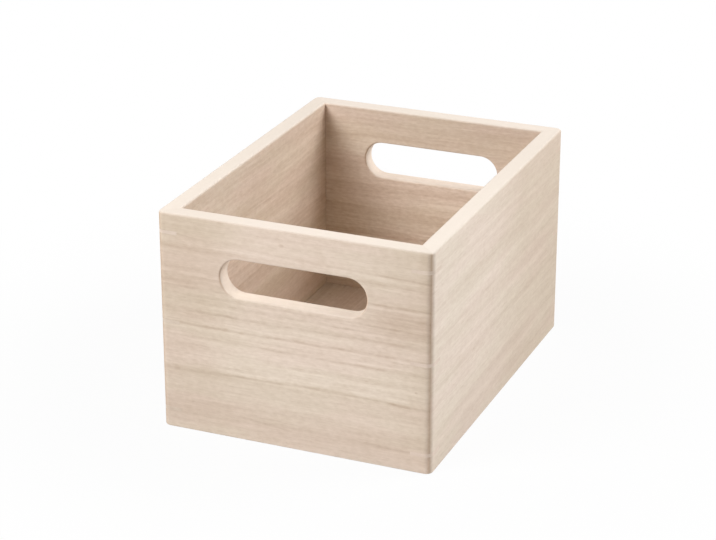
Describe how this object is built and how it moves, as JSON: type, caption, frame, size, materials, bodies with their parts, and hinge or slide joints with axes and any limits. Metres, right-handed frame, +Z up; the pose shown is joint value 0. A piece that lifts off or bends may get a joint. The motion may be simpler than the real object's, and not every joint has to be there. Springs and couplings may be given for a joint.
{
  "type": "wooden storage bin",
  "caption": "Open-topped rectangular wooden storage bin with mitred, splined corners and an oval hand hole at the front and back.",
  "frame": {"origin": "middle of the footprint, on the surface that the bin stands on", "axes": "+X to the right along the front wall, +Y from the front wall to the back wall, +Z up"},
  "size_m": [0.2, 0.27, 0.16],
  "materials": {
    "wall_wood": "sanded, unfinished pale wood",
    "bottom_wood": "sanded, unfinished pale wood",
    "spline_wood": "sanded flush, unfinished pale wood"
  },
  "bodies": {
    "root": {"front_panel": "wall_wood", "back_panel": "wall_wood", "left_panel": "wall_wood", "right_panel": "wall_wood", "bottom_panel": "bottom_wood", "front_left_spline_top": "spline_wood", "front_left_spline_middle": "spline_wood", "front_left_spline_bottom": "spline_wood", "front_right_spline_top": "spline_wood", "front_right_spline_middle": "spline_wood", "front_right_spline_bottom": "spline_wood", "back_right_spline_top": "spline_wood", "back_right_spline_middle": "spline_wood", "back_right_spline_bottom": "spline_wood", "back_left_spline_top": "spline_wood", "back_left_spline_middle": "spline_wood", "back_left_spline_bottom": "spline_wood"}
  },
  "joints": []
}
